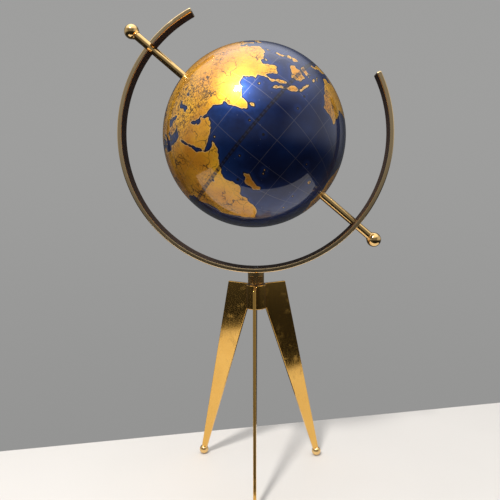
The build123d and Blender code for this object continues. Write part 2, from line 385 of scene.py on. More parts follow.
arabia_and_india = [
    (34.2, 27.9), (34.9, 29.5), (35.2, 28), (37.2, 25), (39, 21.5), (41, 18.5), (42.7, 15.5),
    (43.4, 12.7), (45, 12.8), (48, 14), (52.2, 15.6), (55, 17), (57.8, 19), (59.8, 22.5),
    (57, 24), (56.4, 26.2), (54.5, 24.3), (51.5, 24.4), (51.3, 26), (50, 26.5), (48.5, 28.5),
    (48, 30), (50.5, 29.5), (52, 27.8), (54.8, 26.6), (57, 26.8), (57.4, 25.6), (61.6, 25.1),
    (66.5, 25), (68, 23.7), (69, 22.3), (70.5, 20.8), (72.5, 21.5), (72.8, 19), (73.5, 16),
    (74.8, 13), (76.3, 9.8), (77.5, 8.1), (78.2, 8.9), (79.8, 10.3), (80.2, 13.3), (80.1, 15.2),
    (82.3, 16.7), (85, 19.4), (87, 21.3), (89, 21.9), (91.8, 22.5), (92.3, 20.7), (94.3, 18.5)]
far_east = [
    (94.5, 16), (97, 16.8), (97.6, 15), (98.6, 12), (98.3, 8), (100.4, 6.2), (101.3, 3.2),
    (103.5, 1.4), (104.2, 1.5), (103.4, 4), (102.3, 6.2), (100.5, 7.3), (99.3, 9.5),
    (100, 13.3), (101, 12.7), (102.8, 11.3), (104.8, 8.7), (106.7, 10.4), (109.2, 11.6),
    (109.2, 13.5), (107.5, 16.5), (105.7, 18.8), (106.8, 20.6), (108.5, 21.7), (110.2, 20.9),
    (113.5, 22.2), (116.6, 23.3), (119.3, 25.6), (121.5, 28.3), (121.8, 31), (120.3, 33.5),
    (119.2, 35), (122.5, 37.2), (119.3, 37.4), (117.8, 38.9), (121.2, 40.8), (121.4, 39),
    (124.5, 39.9), (125.2, 38), (126.5, 36.5), (126.4, 34.5), (129, 35.2), (129.4, 37),
    (127.6, 39.6), (129.7, 41), (131, 42.6), (135, 43.4), (138.5, 47), (140.4, 50),
    (141.2, 53), (137.5, 53.9), (135.3, 54.8), (140, 58), (143.5, 59.3), (151, 59.4),
    (155, 59.5), (160, 61.7), (164, 62.5), (162.9, 60.8), (160, 60), (156.5, 57), (155.7, 54),
    (156.7, 51), (158.5, 53), (162, 56), (163.3, 58), (166, 60), (170.3, 60), (176, 62.3),
    (179.5, 62.6), (177.5, 64.7), (182, 65.3), (187, 64.3), (190.2, 66), (185, 67), (180, 69)]
arctic_shore = [
    (170.5, 69.8), (160, 69.7), (152, 70.9), (140, 72.6), (130, 71), (127, 73.3), (113.5, 73.6),
    (105, 77.6), (98, 76.2), (87, 75), (82, 72.6), (80.5, 73.5), (75, 72.8), (73.5, 71.4),
    (73.8, 67.5), (71.5, 69), (69, 72.9), (66.8, 70.5), (68, 68.5), (60, 69), (54, 68.4),
    (48, 67.6), (44, 68.4), (43.5, 66.3), (40, 65), (37, 64.2), (34.8, 64.5), (32.8, 67),
    (41, 66.7), (40.8, 67.7), (33, 69.5), (28, 71.1), (20, 70), (14.5, 68.2), (13, 66.2),
    (10.5, 64.2), (5.2, 62), (5.2, 59.2), (8, 58), (10.6, 59.3), (11.5, 58), (12.8, 55.6),
    (14.3, 55.5), (16.3, 57), (18.8, 60), (17.3, 61.5), (21.5, 64.5), (22.3, 65.8),
    (25.3, 65), (21.4, 62), (22.5, 60), (28, 60.5), (30, 59.9), (24, 59.3), (24.3, 57.3),
    (21.2, 57.2), (21, 55), (18.6, 54.5), (14.2, 54), (11, 54.1), (10.5, 57.7), (8.2, 56.8),
    (8.6, 53.9), (5, 53), (3.5, 51.5), (1.6, 50.4), (-1.3, 49.6), (-4.7, 48.5), (-1.3, 46),
    (-1.7, 43.4), (-8, 43.7), (-9.3, 43), (-9.5, 38.7), (-8.9, 37), (-6.3, 36.7)]
old_world = mediterranean_north + africa + arabia_and_india + far_east + arctic_shore
inland_seas = [
    [(28.7, 41.3), (28, 43.5), (30.7, 46.5), (33.5, 46), (33.5, 44.5), (36.5, 45.2),
     (39.5, 43.6), (41.6, 41.7), (38, 41), (35, 42), (31.5, 41.2)],
    [(47.2, 44.8), (51.5, 46.9), (53, 45.5), (50.8, 44.3), (52.5, 42), (53.5, 40),
     (53.8, 37.1), (50, 37.4), (49, 39), (49.6, 40.6), (47.6, 43)],
    [(58.4, 44.2), (59.8, 46.3), (61.6, 46.2), (61, 44.4), (59.6, 43.6)],
    [(31.8, -1), (33.5, 0.4), (34.2, -1), (32.8, -2.6)],
    [(-92, 46.8), (-88.5, 48.8), (-84.8, 46.8), (-87, 46.4)],
    [(-87.8, 42.2), (-86.3, 42.2), (-85.2, 45.6), (-87.6, 45)],
    [(-84, 45.9), (-82.2, 43.4), (-80.2, 45.4)]]
print("old world outline has", len(old_world), "points")

# %% Coasts of the Americas, the south and the islands
north_america = [
    (-77.5, 7), (-79.5, 8.9), (-80.5, 7.4), (-83, 8.3), (-85.7, 10), (-87.7, 13), (-93, 15.8),
    (-97, 15.9), (-102, 18), (-105.5, 20.4), (-107, 24), (-109.5, 26), (-112.5, 30),
    (-114.8, 31.7), (-111, 25.8), (-109.5, 23.1), (-112.2, 25.5), (-114.8, 28), (-116.8, 32),
    (-120.5, 34.5), (-124, 39.5), (-124, 46.5), (-123, 49), (-127.5, 51), (-130.5, 54.5),
    (-135, 58.5), (-139.5, 59.8), (-146, 60.8), (-151, 59.5), (-154, 58.5), (-160, 55.8),
    (-165, 54.4), (-158, 58.3), (-162, 59), (-165.5, 61.5), (-161, 64), (-168, 65.6),
    (-162, 66.5), (-166, 68.3), (-156.5, 71.3), (-141, 69.7), (-128, 70.3), (-115, 68.5),
    (-108, 68), (-95, 68.2), (-94, 71.9), (-88, 68.5), (-82, 69.2), (-81.5, 67), (-87, 64.5),
    (-94.5, 60), (-92.5, 57), (-85, 55.3), (-82.3, 53), (-79.5, 51.5), (-78.8, 55),
    (-77, 57.5), (-78, 62.3), (-70, 61), (-65, 59.5), (-61.5, 57), (-56, 52.5), (-60, 50.2),
    (-66.5, 50.2), (-64.5, 47), (-61, 45.5), (-65.8, 43.5), (-67, 44.8), (-70.3, 43.5),
    (-70, 41.7), (-74, 40.6), (-75.5, 38), (-76, 35.2), (-78.5, 33.7), (-81.3, 31),
    (-80.1, 27), (-80.5, 25.2), (-82, 27), (-84, 30), (-89.5, 30.2), (-91, 29.2),
    (-94.5, 29.4), (-97.3, 27.5), (-97.8, 22.5), (-95.5, 18.7), (-91.5, 18.5), (-90.4, 21.2),
    (-87, 21.4), (-88, 18), (-88.3, 15.8), (-83.3, 15), (-83.7, 11), (-81.5, 9), (-79.5, 9.5)]
south_america = [
    (-77.3, 8.6), (-75.5, 10.7), (-72, 12.2), (-68, 10.9), (-62, 10.7), (-60, 8.5), (-57, 6),
    (-51.5, 4.3), (-50, 0.5), (-48.5, -1), (-44, -2.6), (-38.5, -3.7), (-35.2, -5.5),
    (-34.9, -8.5), (-38.5, -13), (-39.2, -18), (-41, -22), (-44.5, -23), (-48.5, -26),
    (-48.7, -28.7), (-53, -33.5), (-58.4, -34), (-57, -36.5), (-62.2, -39), (-65, -41),
    (-67.5, -46), (-65.8, -47.5), (-69, -51), (-65.2, -54.7), (-69, -55.4), (-74, -52.5),
    (-75.5, -48.5), (-73, -42), (-73.5, -37.5), (-71.5, -32), (-70.3, -25), (-70.2, -18.4),
    (-76.2, -14), (-79.5, -8), (-81.3, -4.7), (-80, 0.5), (-77.7, 3)]
antarctica = [
    (-180, -78), (-160, -78.5), (-150, -77), (-135, -74.5), (-110, -74.8), (-100, -73),
    (-85, -73.2), (-72, -73), (-67, -67.5), (-57, -63.4), (-62, -67), (-61, -74), (-60, -77.5),
    (-40, -78), (-28, -76.5), (-15, -72.5), (0, -70), (15, -69.8), (35, -69.2), (50, -66.6),
    (60, -67.3), (70, -70), (78, -69), (85, -66.7), (100, -65.8), (113, -66), (130, -66.2),
    (145, -67), (160, -70), (170, -72), (165, -77.5), (180, -78), (180, -90), (-180, -90)]
southern_lands = [
    [(113.7, -22.6), (114.2, -26.3), (115.7, -31.8), (115, -34.2), (118, -35), (123.6, -33.9),
     (131, -31.5), (135.3, -34.6), (137.8, -32.8), (138.2, -35.6), (140.6, -38), (143.5, -38.8),
     (146.4, -39), (150, -37.4), (151.3, -33.5), (153.5, -28.5), (150.8, -23.3), (146.3, -18.9),
     (145.3, -15), (142.5, -10.8), (141.6, -14.5), (140.5, -17.6), (135.6, -15), (136.8, -12.2),
     (132.6, -11.4), (130, -14), (127.8, -14.5), (124.5, -16.3), (122.2, -18.2), (118, -20.4)],
    [(144.8, -40.8), (148.2, -40.9), (147, -43.5), (145.6, -42.7)],
    [(172.8, -34.5), (175.5, -36.8), (178.4, -37.8), (175.2, -41.5), (173.9, -39.3)],
    [(172.7, -40.6), (174.2, -41.8), (171.2, -44.3), (169, -46.6), (166.6, -45.9), (170, -43)],
    [(49.3, -12), (50.4, -15.5), (47.1, -25), (45.2, -25.5), (43.3, -22.5), (44.4, -19.8),
     (44.2, -16.2), (47.5, -14.5)]]
spice_islands = [
    [(80, 9.7), (81.8, 7.3), (80.6, 5.9), (79.8, 7.5)],
    [(95.3, 5.6), (98.5, 3.6), (103.5, -1), (106, -3), (105.8, -5.8), (104.5, -5.8),
     (101.5, -3), (98.7, 1.7)],
    [(105.2, -6.8), (108.5, -6.6), (112.7, -6.9), (114.5, -7.8), (114.4, -8.7), (109, -7.8)],
    [(109, 1.5), (111.5, 2.7), (116.8, 7), (119.2, 5.2), (117.8, 3.5), (118.8, 1),
     (116.5, -1.5), (116, -4), (111.5, -3.4), (110, -1.3)],
    [(119.4, -5.5), (119, -3), (119.8, 0.5), (124.9, 1.6), (121.5, -1), (123, -0.9),
     (121.8, -3), (122.5, -5.2), (120.5, -3)],
    [(131, -0.8), (134.2, -0.8), (135, -3.3), (141, -2.6), (147.8, -6), (150.8, -10.6),
     (147, -9.5), (143, -9.2), (138, -8.3), (137.8, -5.2), (133, -4)],
    [(123.6, -10.3), (127.2, -8.4), (124, -9)], [(119, -8.5), (122.9, -8.2), (121, -8.9)],
    [(127.5, 0), (128.6, 1.8), (128.2, -0.8)], [(149, -5.7), (152.2, -4.4), (151, -6.2)],
    [(120.3, 16), (120.6, 18.5), (122.2, 18.4), (121.7, 15.8), (124, 12.6), (120.6, 13.8)],
    [(122, 7), (125.4, 9.8), (126.5, 7.5), (125.5, 5.7)],
    [(122.3, 11.8), (125.4, 12.4), (125.2, 10.2), (123, 9.4)],
    [(120.1, 23), (121.6, 25.2), (121, 22)], [(108.7, 19.2), (110.9, 20), (110, 18.2)],
    [(131, 34.1), (136.8, 37.2), (139.5, 38.3), (140.3, 41.2), (142, 39.6), (140.8, 35.7),
     (136.9, 34.3)],
    [(130, 33.3), (134.5, 34.2), (132.7, 33), (131.2, 31.3), (130.2, 31.5)],
    [(140, 42), (141.8, 45.4), (145.3, 43.4), (143.2, 42)],
    [(142, 54.2), (143, 52.5), (144.5, 49), (142, 46.2), (142.2, 50)]]
northern_islands = [
    [(-73, 78.2), (-60, 82.2), (-32, 83.6), (-12, 81.5), (-20, 76), (-22, 70.5), (-32, 68),
     (-40, 65), (-43.5, 59.9), (-50, 62), (-54, 67), (-51, 69.5), (-55, 73), (-60, 75.8),
     (-69, 76)],
    [(-61.5, 66.5), (-66, 62), (-72, 64), (-73, 68), (-80, 70), (-89, 73.5), (-80, 73.7),
     (-70, 71)],
    [(-88, 76.5), (-80, 76.3), (-75, 78.5), (-63, 82.5), (-78, 83), (-92, 81)],
    [(-117, 69.8), (-105, 69), (-101.5, 70), (-105, 73), (-117, 73.2)],
    [(-59, 47.8), (-53.5, 46.8), (-53, 48.5), (-55.5, 51.5), (-57.8, 50.5)],
    [(-84.8, 21.9), (-82, 23.1), (-77, 21.7), (-74.3, 20.2), (-77.5, 19.9)],
    [(-74.4, 18.5), (-71, 17.8), (-68.4, 18.5), (-70, 19.7), (-73.3, 19.9)],
    [(-22.5, 64), (-18.5, 63.4), (-13.8, 65), (-16, 66.4), (-22, 66.3)],
    [(-5.5, 50.1), (1.2, 51.1), (1.7, 52.7), (0, 53.5), (-2, 55.8), (-2, 57.6), (-3.2, 58.6),
     (-5.1, 58.5), (-5.7, 56.5), (-3.2, 54.9), (-4.5, 53.3), (-5.1, 51.8)],
    [(-6.2, 52.2), (-5.6, 54.6), (-8, 55.3), (-10, 54), (-10.2, 51.6)],
    [(12.5, 38), (15.6, 38.2), (15.1, 36.7)], [(8.5, 39), (9.7, 39.2), (9.5, 42.9), (8.4, 41)],
    [(23.6, 35.2), (26.2, 35.4), (26.2, 34.9), (23.8, 34.8)], [(32.3, 34.9), (34.5, 35.6)],
    [(52, 71), (57.5, 70.7), (56, 73), (68.5, 76.7), (60, 76.2), (53, 73)],
    [(11, 79.5), (16.5, 76.7), (22, 78.5), (27, 80), (16, 80)]]
islets = [      # east, north, and half the size, all in degrees
    (55.5, -21.1, 0.5), (57.6, -20.3, 0.4), (55.5, -4.7, 0.4), (43.5, -12.0, 0.4),
    (69.5, -49.3, 1.1), (54.0, 12.5, 0.5), (92.8, 12.4, 0.5), (73.4, 3.2, 0.35),
    (96.8, -12.2, 0.35), (105.6, -10.5, 0.35), (72.4, -7.3, 0.35), (77.5, -38.3, 0.35),
    (37.8, -46.9, 0.4), (51.7, -46.4, 0.4), (178.0, -17.8, 0.7), (165.5, -21.3, 0.9),
    (160.0, -9.3, 0.9), (-155.5, 19.6, 0.7), (-90.9, -0.5, 0.6), (-59.0, -51.7, 1.1),
    (-25.5, 37.8, 0.5), (-16.0, 28.3, 0.6), (-24.0, 15.5, 0.5), (-36.5, -54.4, 0.7),
    (-66.3, 18.2, 0.6), (-61.4, 14.5, 0.4), (144.8, 13.4, 0.4), (-149.5, -17.6, 0.5)]


def islet(east, north, size):
    """A small round island with seven points."""
    turns = [math.tau * step / 7 for step in range(7)]
    return [(east + size * math.cos(t) / math.cos(math.radians(north)),
             north + size * math.sin(t)) for t in turns]


outlines = ([old_world, north_america + south_america, antarctica] + inland_seas
            + southern_lands + spice_islands + northern_islands
            + [islet(*place) for place in islets])
print(len(outlines), "outlines with", sum(len(line) for line in outlines), "points")

# %% [markdown]
# A hand-drawn outline has long straight runs, and a real coast has none: it is as ragged
# close up as from far away. So each run is split at its middle again and again, and each
# new middle is pushed sideways by a share of its run's length. The pushes come from a
# generator with a fixed seed, so that the map is the same each time.

# %% Make the coasts ragged
coast_step = 0.35          # degrees between two points of the finished coast
coast_wander = 0.10        # how far a middle is pushed, as a share of its run
map_random = np.random.default_rng(1492)


def ragged(outline):
    """The outline as many short runs, pushed sideways at every scale."""
    line = np.array(outline, float)
    line = np.vstack([line, line[:1]])
    while True:
        runs = np.diff(line, axis=0)
        shrink = np.cos(np.radians((line[1:, 1] + line[:-1, 1]) / 2)).clip(0.1)
        length = np.hypot(runs[:, 0] * shrink, runs[:, 1])
        edge_of_sheet = (line[1:, 1] < -89) | (line[:-1, 1] < -89)
        long_runs = (length > coast_step) & ~edge_of_sheet
        if not long_runs.any():
            return line
        push = map_random.normal(0, coast_wander, len(runs))
        middles = (line[1:] + line[:-1]) / 2
        middles[:, 0] -= runs[:, 1] / shrink * push
        middles[:, 1] += runs[:, 0] * shrink * push
        line = np.insert(line, np.flatnonzero(long_runs) + 1, middles[long_runs], axis=0)


coasts = [ragged(outline) for outline in outlines]
print("ragged coasts have", sum(len(line) for line in coasts), "points")

# %% [markdown]
# Each hemisphere is a fine net of squares along the lines of latitude and longitude, with a
# hole at its pole for the rod's bush. For every row of the net, the places where a coast
# crosses that latitude say which squares are land. The distance to the coast comes from a
# tree of all coast points, which finds the nearest one quickly. The net stores that
# distance, above zero on land and below it at sea, and the print is drawn from it.

# %% Distance from the coast
columns, rows = 500, 120          # squares round the globe, and from equator to pole
facing_longitude = 68.9           # the longitude that faces straight away from the ring's back
map_front = Vector((0, -1, 0))
map_east = pole.cross(map_front)


def on_globe(north, east, radius=1.0):
    """Points on a sphere from latitude and longitude in degrees."""
    lat, lon = np.radians(north), np.radians(east - facing_longitude)
    flat = (np.cos(lat) * np.cos(lon))[..., None] * np.array(map_front)
    flat = flat + (np.cos(lat) * np.sin(lon))[..., None] * np.array(map_east)
    return radius * (flat + np.sin(lat)[..., None] * np.array(pole))


def plant_coast_tree():
    """A search tree of all coast points on a sphere of radius 1."""
    points = np.vstack([line[line[:, 1] > -89] for line in coasts])
    points = on_globe(points[:, 1], points[:, 0])
    tree = kdtree.KDTree(len(points))
    for index, point in enumerate(points):
        tree.insert(point, index)
    tree.balance()
    return tree


def is_land(north, east):
    """For one latitude, whether each longitude lies inside an odd number of outlines."""
    crossings = []
    for line in coasts:
        start, end = line[:-1], line[1:]
        hit = (start[:, 1] <= north) != (end[:, 1] <= north)
        share = (north - start[hit, 1]) / (end[hit, 1] - start[hit, 1])
        crossings.append(start[hit, 0] + share * (end[hit, 0] - start[hit, 0]))
    crossings = np.sort(np.concatenate(crossings))
    count = sum(np.searchsorted(crossings, east + turn) for turn in (-360, 0, 360))
    return count % 2 == 1


coast_tree = plant_coast_tree()


def coast_distance(latitudes, longitudes):
    """Degrees to the nearest coast on a net of latitudes by longitudes, minus at sea."""
    result = np.zeros((len(latitudes), len(longitudes)))
    for row, north in enumerate(latitudes):
        points = on_globe(np.full(len(longitudes), north), longitudes)
        away = np.array([coast_tree.find(point)[2] for point in points])
        side = np.where(is_land(north, longitudes), 1.0, -1.0)
        result[row] = np.degrees(2 * np.arcsin(np.minimum(away / 2, 1.0))) * side
    return result


# %% [markdown]
# The skin is a thin shell: its outer face carries the fine net, its inner face a coarser
# one in the other direction, and two narrow rims close it at the pole and at the equator.
# Its map of the sheet (the UV map) is simply longitude across and latitude up, which the
# grid lines of the print are drawn from.

# %% Build the two hemispheres of the map
skin_thickness = 0.3 * mm
inner_rows = 12


def map_skin(name, side):
    """One hemisphere's printed skin, side 1 for north and -1 for south."""
    edge = 90 - math.degrees(math.asin(hole_radius / globe_radius))
    outer = np.linspace(0, edge, rows + 1)
    inner = np.linspace(edge, 0, inner_rows + 1)
    loop_north = np.concatenate([outer, inner]) * side
    loop_radius = np.concatenate([np.full(rows + 1, globe_radius),
                                  np.full(inner_rows + 1, globe_radius - skin_thickness)])
    longitudes = np.arange(columns) * 360 / columns - 180
    net_north, net_east = np.meshgrid(loop_north, longitudes, indexing="ij")
    points = on_globe(net_north, net_east) * loop_radius[:, None, None] + np.array(centre)
    rings = len(loop_north)
    row, column = np.meshgrid(np.arange(rings), np.arange(columns), indexing="ij")
    next_row, next_column = (row + 1) % rings, (column + 1) % columns
    corners = np.stack([row * columns + column, row * columns + next_column,
                        next_row * columns + next_column, next_row * columns + column], -1)
    east_uv = np.stack([column, column + 1, column + 1, column], -1) / columns
    north_uv = (np.stack([loop_north[row], loop_north[row], loop_north[next_row],
                          loop_north[next_row]], -1) + 90) / 180
    if side < 0:
        corners, east_uv, north_uv = (grid[..., ::-1] for grid in (corners, east_uv, north_uv))
    mesh = bpy.data.meshes.new(name)
    mesh.from_pydata(points.reshape(-1, 3), [], corners.reshape(-1, 4).tolist())
    sheet = mesh.uv_layers.new(name="sheet")
    sheet.data.foreach_set("uv", np.stack([east_uv, north_uv], -1).astype(np.float32).ravel())
    distance = np.zeros((rings, columns))
    distance[:rows + 1] = coast_distance(outer * side, longitudes)
    coast = mesh.attributes.new("coast", "FLOAT", "POINT")
    coast.data.foreach_set("value", distance.astype(np.float32).ravel())
    mesh.polygons.foreach_set("use_smooth", np.ones(len(mesh.polygons), bool))
    mesh.set_sharp_from_angle(angle=math.radians(40))
    piece = add_object(name, mesh)
    land_share = float((distance[:rows + 1] > 0).mean())
    print(name, len(mesh.polygons), "squares,", round(land_share, 3), "of its net is land")
    return piece


map_skins = {"map_skin_north": map_skin("printed_map_north", 1),
             "map_skin_south": map_skin("printed_map_south", -1)}
for node, piece in map_skins.items():
    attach(piece, "globe")
    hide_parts(node)

# %% [markdown]
# The print itself: land is gold, mottled with darker amber towards the middle of the land,
# with brown country borders and tiny brown towns; the sea is navy, a little lighter on the
# shallow shelf beside the land. A thin cream line follows each coast, with a dark line
# outside it. Faint pale lines every 15 degrees make the grid, and the equator is a broad
# dark line with dashes. Borders and towns crowd where people do, in the north and west of
# the old world. Gloss lacquer covers it all: a hard clear coat over a softer print,
# which gives one sharp highlight inside a wide warm glow.

# %% Map print finish
grid_step = 15.0           # degrees between grid lines
grid_width = 0.07          # half widths, in degrees of the globe
equator_width = 0.95
coast_line = 0.12


def map_print():
    """The printed and lacquered map."""
    finish = Finish("lacquered map print", Coat_Weight=1.0, Coat_Roughness=0.045,
                    Specular_IOR_Level=0.3)
    coast = finish.add("ShaderNodeAttribute", attribute_name="coast").outputs["Fac"]
    sheet = finish.add("ShaderNodeUVMap", uv_map="sheet").outputs[0]
    east, north = finish.add("ShaderNodeSeparateXYZ", sheet).outputs[:2]
    latitude = finish.math("MULTIPLY_ADD", north, 180.0, -90.0)
    narrowing = finish.math("COSINE", finish.math("RADIANS", latitude))

    def from_line(turns, step):
        """Degrees of the sheet to the nearest of the lines that are a step apart."""
        return finish.math("MULTIPLY", finish.math("PINGPONG", turns, 0.5), step)

    to_meridian = finish.math("MULTIPLY", narrowing, from_line(
        finish.math("MULTIPLY", east, 360 / grid_step), grid_step))
    to_parallel = from_line(finish.math("MULTIPLY", north, 180 / grid_step), grid_step)
    to_grid = finish.math("MINIMUM", to_meridian, to_parallel)
    grid = finish.fade(to_grid, grid_width, grid_width + 0.14, 1.0, 0.0)
    to_equator = finish.math("ABSOLUTE", latitude)
    equator = finish.fade(to_equator, equator_width, equator_width + 0.2, 1.0, 0.0)
    dash = finish.fade(finish.math("PINGPONG", finish.math("MULTIPLY", east, 120.0), 0.5),
                       0.30, 0.34, 0.0, 1.0)

    wander = finish.add("ShaderNodeTexNoise")
    finish.feed(wander.inputs["Vector"], finish.place)
    finish.feed(wander.inputs["Scale"], 90.0)
    finish.feed(wander.inputs["Detail"], 3.0)
    drift = finish.vector("MULTIPLY", finish.vector(
        "SUBTRACT", wander.outputs["Color"], (0.5, 0.5, 0.5)), (0.016, 0.016, 0.016))
    wandering = finish.vector("ADD", finish.place, drift)
    border = finish.cells(wandering, 92.0, "DISTANCE_TO_EDGE")
    district = finish.cells(wandering, 260.0, "DISTANCE_TO_EDGE")
    town = finish.cells(finish.place, 520.0)
    clouds = finish.noise(finish.place, 26.0, 4.0)
    mottle = finish.noise(finish.place, 480.0, 4.0, 0.7)
    longitude = finish.math("MULTIPLY_ADD", east, 360.0, -180.0)

    def near_line(value, middle, near, far):
        """1 within near degrees of a line of the sheet, and 0 beyond far."""
        return finish.fade(finish.math("ABSOLUTE", finish.math("SUBTRACT", value, middle)),
                           near, far, 1.0, 0.0)

    settled = finish.math("MULTIPLY", near_line(longitude, 38.0, 26.0, 48.0),
                          near_line(latitude, 45.0, 10.0, 22.0))
    crowded = finish.math("MAXIMUM", settled, finish.fade(
        finish.noise(finish.place, 30.0, 2.0), 0.50, 0.62, 0.0, 0.6))

    inland = finish.fade(coast, 0.0, 9.0)
    gold = finish.mix(finish.fade(clouds, 0.32, 0.68), (0.95, 0.50, 0.025, 1),
                      (0.58, 0.22, 0.012, 1))
    gold = finish.mix(finish.math("MULTIPLY", inland, 0.35), gold, (0.62, 0.26, 0.015, 1))
    gold = finish.mix(finish.fade(mottle, 0.50, 0.72, 0.0, 0.40), gold, (0.36, 0.13, 0.012, 1))
    brown = (0.020, 0.008, 0.004, 1)
    patchy = finish.fade(finish.noise(finish.place, 60.0, 3.0), 0.42, 0.60, 0.15, 1.0)
    ink = finish.math("MAXIMUM", finish.math("MULTIPLY", patchy, finish.fade(
        border, 0.014, 0.034, 0.9, 0.0)),
                      finish.math("MULTIPLY", crowded,
                                  finish.fade(district, 0.02, 0.07, 0.75, 0.0)))
    towns = finish.math("MULTIPLY", finish.fade(town, 0.16, 0.24, 0.9, 0.0),
                        finish.math("MULTIPLY_ADD", crowded, 0.7, 0.3))
    smudge = finish.math("MULTIPLY", crowded, finish.fade(mottle, 0.53, 0.60, 0.0, 0.95))
    ink = finish.math("MAXIMUM", ink, finish.math("MAXIMUM", towns, smudge))
    land = finish.mix(ink, gold, brown)

    shelf = finish.fade(coast, -3.2, -0.5)
    deep = finish.mix(finish.fade(clouds, 0.3, 0.7), (0.006, 0.031, 0.150, 1),
                      (0.002, 0.009, 0.060, 1))
    sea = finish.mix(finish.math("MULTIPLY", shelf, 0.4), deep, (0.010, 0.042, 0.22, 1))
    far_speck = finish.math("MULTIPLY", finish.fade(finish.cells(finish.place, 300.0),
                                                    0.05, 0.09, 0.5, 0.0),
                            finish.fade(coast, -8.0, -3.0))
    sea = finish.mix(far_speck, sea, (0.35, 0.36, 0.38, 1))

    on_land = finish.fade(coast, -0.05, 0.05)
    print_colour = finish.mix(on_land, sea, land)
    print_colour = finish.mix(finish.math("MULTIPLY", grid, finish.fade(
        on_land, 0.0, 1.0, 0.17, 0.10)), print_colour, (0.46, 0.42, 0.38, 1))
    outside = finish.math("MULTIPLY", finish.fade(coast, -0.75, -0.35),
                          finish.fade(coast, -0.1, 0.0, 1.0, 0.0))
    print_colour = finish.mix(outside, print_colour, (0.010, 0.010, 0.018, 1))
    shore = finish.math("MULTIPLY", on_land, finish.fade(
        coast, coast_line, coast_line + 0.25, 1.0, 0.0))
    print_colour = finish.mix(finish.math("MULTIPLY", shore, 0.35), print_colour,
                              (0.90, 0.74, 0.46, 1))
    print_colour = finish.mix(finish.math("MULTIPLY", equator, finish.math(
        "MULTIPLY_ADD", dash, 0.35, 0.6)), print_colour, (0.010, 0.009, 0.020, 1))
    finish.set("Base Color", print_colour)
    finish.set("Metallic", finish.fade(on_land, 0.0, 1.0, 0.75, 0.55))
    finish.set("Roughness", finish.fade(
        finish.noise(finish.place, 300.0), 0.3, 0.7, 0.37, 0.45))
    gore = finish.fade(from_line(finish.math("MULTIPLY", east, 12.0), 30.0), 0.0, 0.3)
    ripple = finish.noise(finish.place, 70.0, 2.0)
    finish.bump(finish.math("ADD", finish.math("MULTIPLY", gore, 0.5), ripple), 0.03 * mm,
                0.35, "Coat Normal")
    return finish


map_finish = map_print()
for piece in map_skins.values():
    dress(piece, map_finish)
print("map print has", len(map_finish.tree.nodes), "nodes")

# %% [markdown]
# ## The ring
# The ring is one flat brass strip with rounded edges, bent round the globe and open at the
# upper right. Its shape follows a rule: one section, swept along an arc. That is what
# Geometry Nodes do best: a rectangle with filleted corners is swept along the arc, and the
# holes are then cut with plain cylinders, a box and a cone. The tree has a named input for
# every size, so a thinner or wider ring is a change of one number.

# %% Helpers for trees of Geometry Nodes
class Tree:
    """A tree of Geometry Nodes with named inputs, wired node by node."""

    def __init__(self, name, sizes):
        self.group = bpy.data.node_groups.new(name, "GeometryNodeTree")
        face = self.group.interface
        face.new_socket("Geometry", in_out="INPUT", socket_type="NodeSocketGeometry")
        face.new_socket("Geometry", in_out="OUTPUT", socket_type="NodeSocketGeometry")
        self.sizes = dict(sizes)
        for label, value in self.sizes.items():
            kind = {int: "NodeSocketInt", float: "NodeSocketFloat"}.get(
                type(value), "NodeSocketVector")
            face.new_socket(label, in_out="INPUT", socket_type=kind)
        self.inputs = self.group.nodes.new("NodeGroupInput").outputs

    def add(self, kind, feeds=(), **settings):
        """A node with its settings and what goes into its named sockets."""
        node = self.group.nodes.new(kind)
        for label, value in settings.items():
            setattr(node, label, value)
        for label, value in dict(feeds).items():
            for one in value if isinstance(value, list) else [value]:
                if isinstance(one, bpy.types.NodeSocket):
                    self.group.links.new(one, node.inputs[label])
                else:
                    node.inputs[label].default_value = one
        return node

    def math(self, operation, first, second):
        node = self.group.nodes.new("ShaderNodeMath")
        node.operation = operation
        for socket, value in zip(node.inputs, (first, second)):
            if isinstance(value, bpy.types.NodeSocket):
                self.group.links.new(value, socket)
            else:
                socket.default_value = value
        return node.outputs[0]

    def end(self, geometry, finish):
        """Realizes what was instanced, gives it its material and ends the tree."""
        real = self.add("GeometryNodeRealizeInstances", {"Geometry": geometry})
        dressed = self.add("GeometryNodeSetMaterial", {
            "Geometry": real.outputs[0], "Material": finish.material})
        self.add("NodeGroupOutput", {"Geometry": dressed.outputs[0]})

    def grow(self, name):
        """Runs the tree with its sizes and returns a plain mesh object."""
        seed = add_object(name + "_seed", bpy.data.meshes.new(name + "_seed"))
        modifier = seed.modifiers.new("tree", "NODES")
        modifier.node_group = self.group
        for item in self.group.interface.items_tree:
            if item.in_out == "INPUT" and item.name in self.sizes:
                modifier[item.identifier] = self.sizes[item.name]
        bpy.context.view_layer.update()
        mesh = bpy.data.meshes.new_from_object(
            seed.evaluated_get(bpy.context.evaluated_depsgraph_get()))
        bpy.data.objects.remove(seed)
        return add_object(name, mesh)


def settle(piece):
    """Turns what the modifiers make of a piece into its own plain mesh."""
    made = bpy.data.meshes.new_from_object(
        piece.evaluated_get(bpy.context.evaluated_depsgraph_get()))
    piece.modifiers.clear()
    piece.data = made


